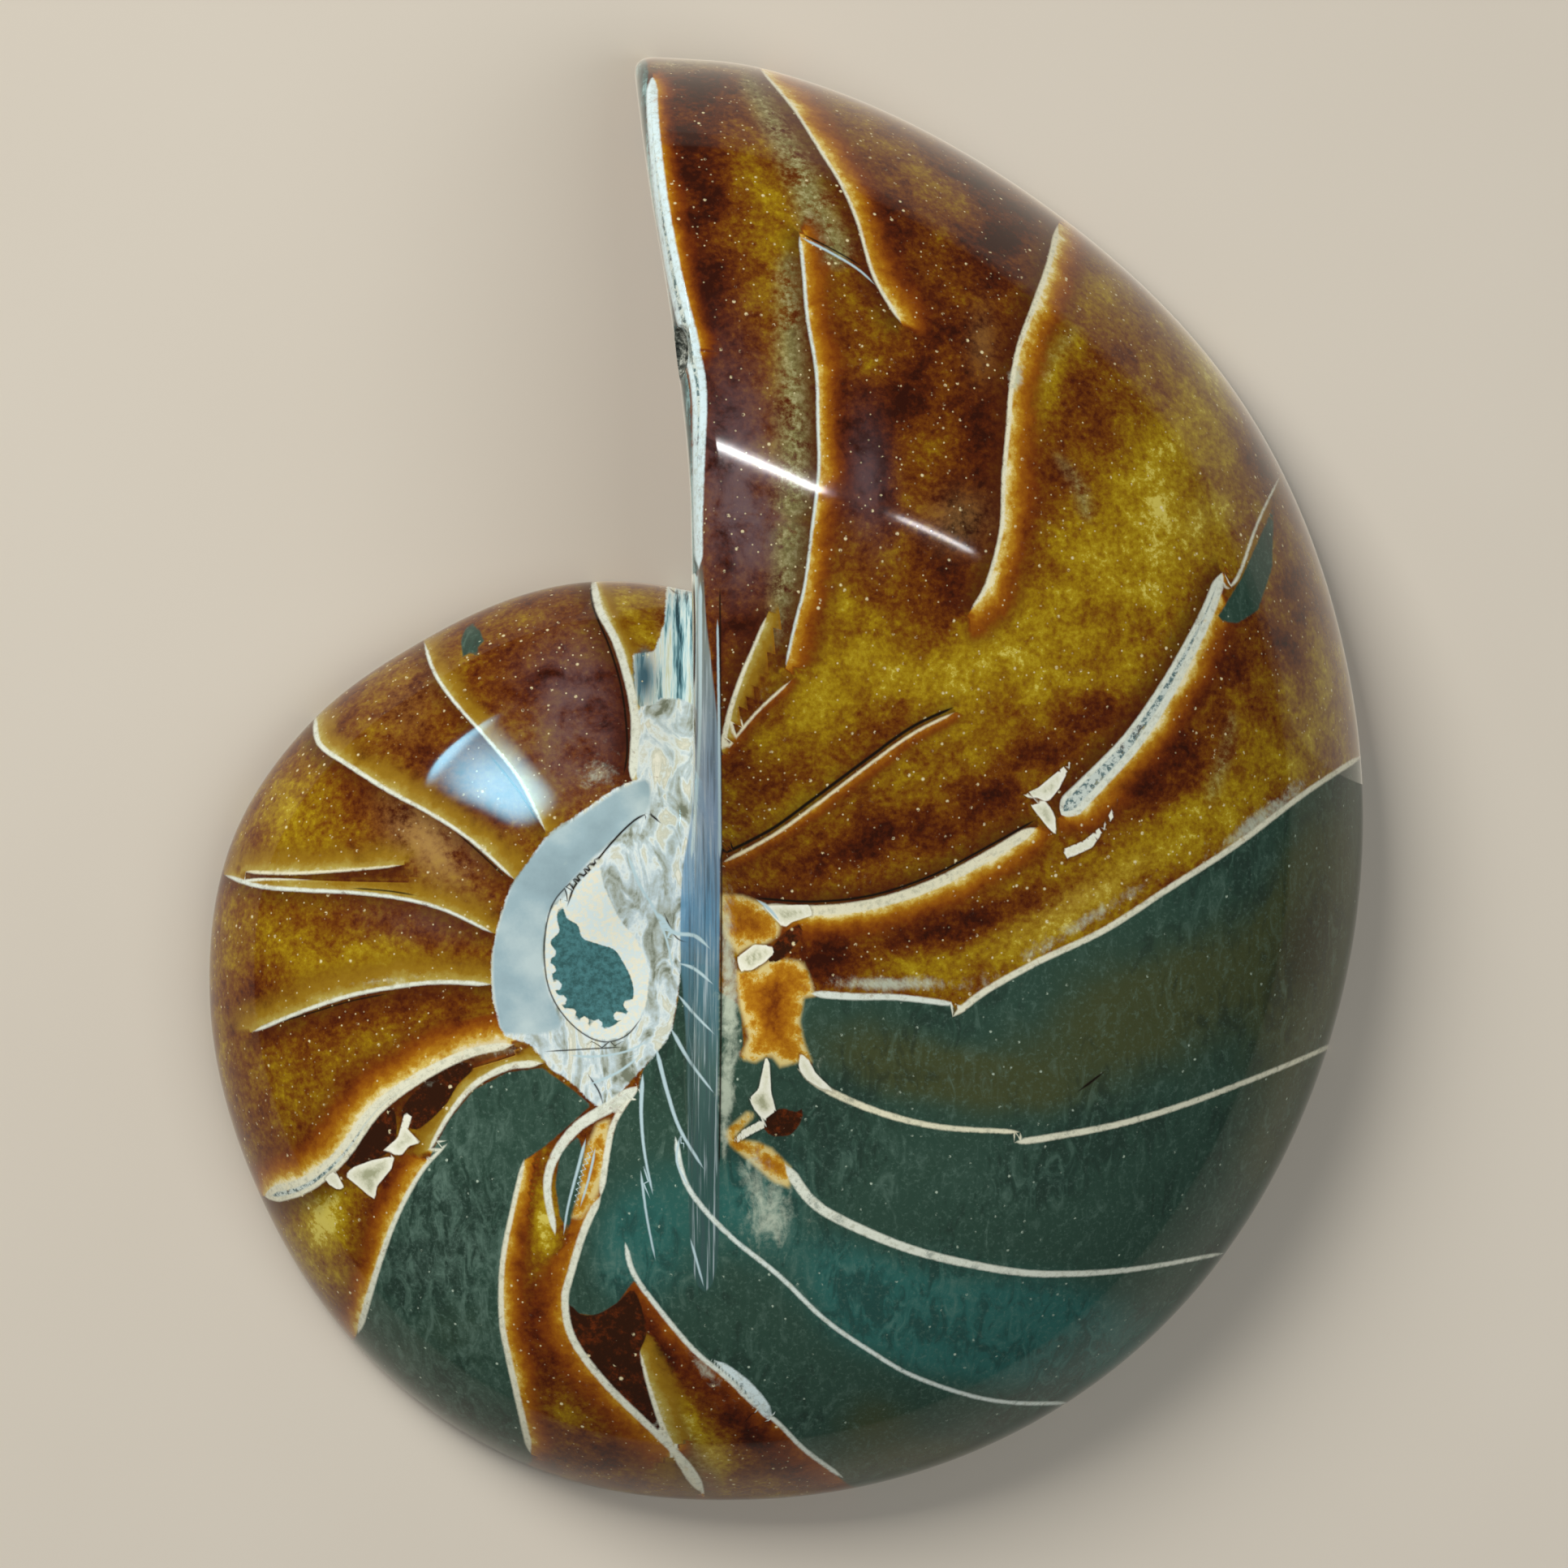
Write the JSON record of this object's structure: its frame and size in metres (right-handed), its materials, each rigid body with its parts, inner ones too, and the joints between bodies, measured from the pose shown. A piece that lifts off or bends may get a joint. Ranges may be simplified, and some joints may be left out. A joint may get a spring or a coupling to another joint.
{
  "type": "nautilus shell half",
  "caption": "Half of a polished fossil nautilus with a coiled domed flank, a ground mouth face and a flat sawn face that it lies on.",
  "frame": {"origin": "where the coiling axis leaves the flat sawn face", "axes": "+Z along the coiling axis, out of the domed flank; +Y towards the tip of the last whorl; +X towards the belly of the last whorl"},
  "size_m": [0.0964, 0.1204, 0.0315],
  "materials": {
    "fossil_half": "polished"
  },
  "bodies": {
    "root": {"fossil_half": "fossil_half"}
  },
  "joints": []
}
